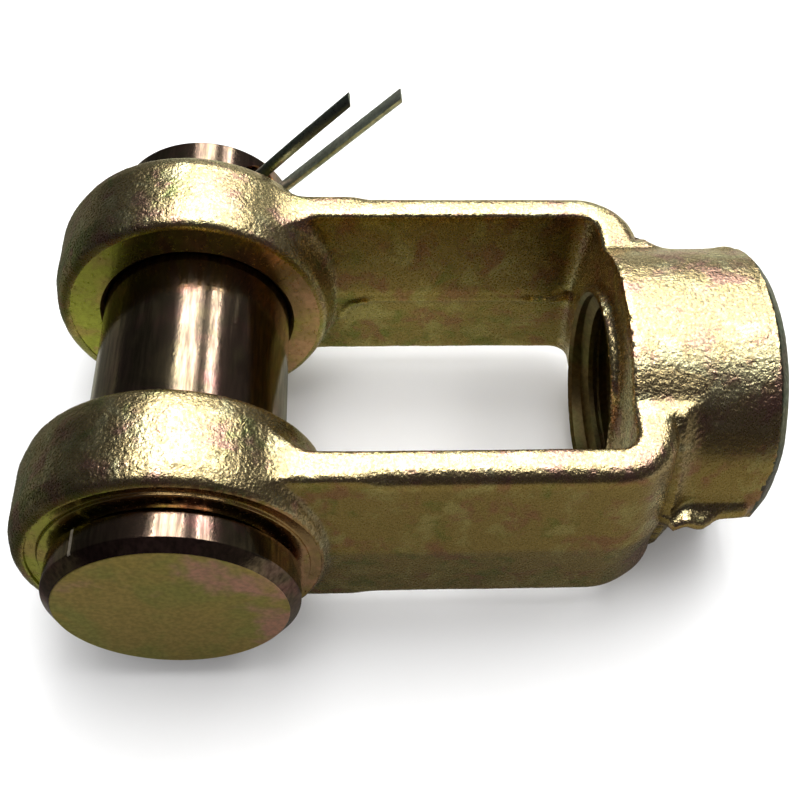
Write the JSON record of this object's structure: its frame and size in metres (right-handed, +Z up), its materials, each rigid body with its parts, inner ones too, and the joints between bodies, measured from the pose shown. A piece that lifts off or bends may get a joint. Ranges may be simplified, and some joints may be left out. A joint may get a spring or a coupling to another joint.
{
  "type": "clevis rod end",
  "caption": "Forged fork with a threaded shank and round bossed ears, joined to a lever eye by a headed cross pin that a bent split pin keeps in place.",
  "frame": {"origin": "on the clevis pin's axis, midway between the two ears", "axes": "+X along the threaded shank, +Y along the clevis pin away from its head, +Z up"},
  "size_m": [0.0518, 0.0376, 0.0246],
  "materials": {
    "yoke_plating": "yellow zinc plating over a grit-blasted forging, bright on its rims, olive and pink in the recesses",
    "pin_plating": "smooth yellow zinc plating on turned steel",
    "split_pin_wire": "drawn wire with a thin grey-green plating"
  },
  "bodies": {
    "yoke": {"yoke": "yoke_plating"},
    "clevis_pin": {"clevis_pin": "pin_plating"},
    "split_pin": {"split_pin": "split_pin_wire"}
  },
  "joints": [
    {"name": "pin_spin", "type": "hinge", "parent": "yoke", "child": "clevis_pin", "pos_m": [0, 0, 0], "axis": [0, 1, 0], "continuous": true},
    {"name": "split_pin_pull", "type": "slide", "parent": "clevis_pin", "child": "split_pin", "axis": [-0.7071, 0, -0.7071], "range_m": [0, 0.028]}
  ]
}
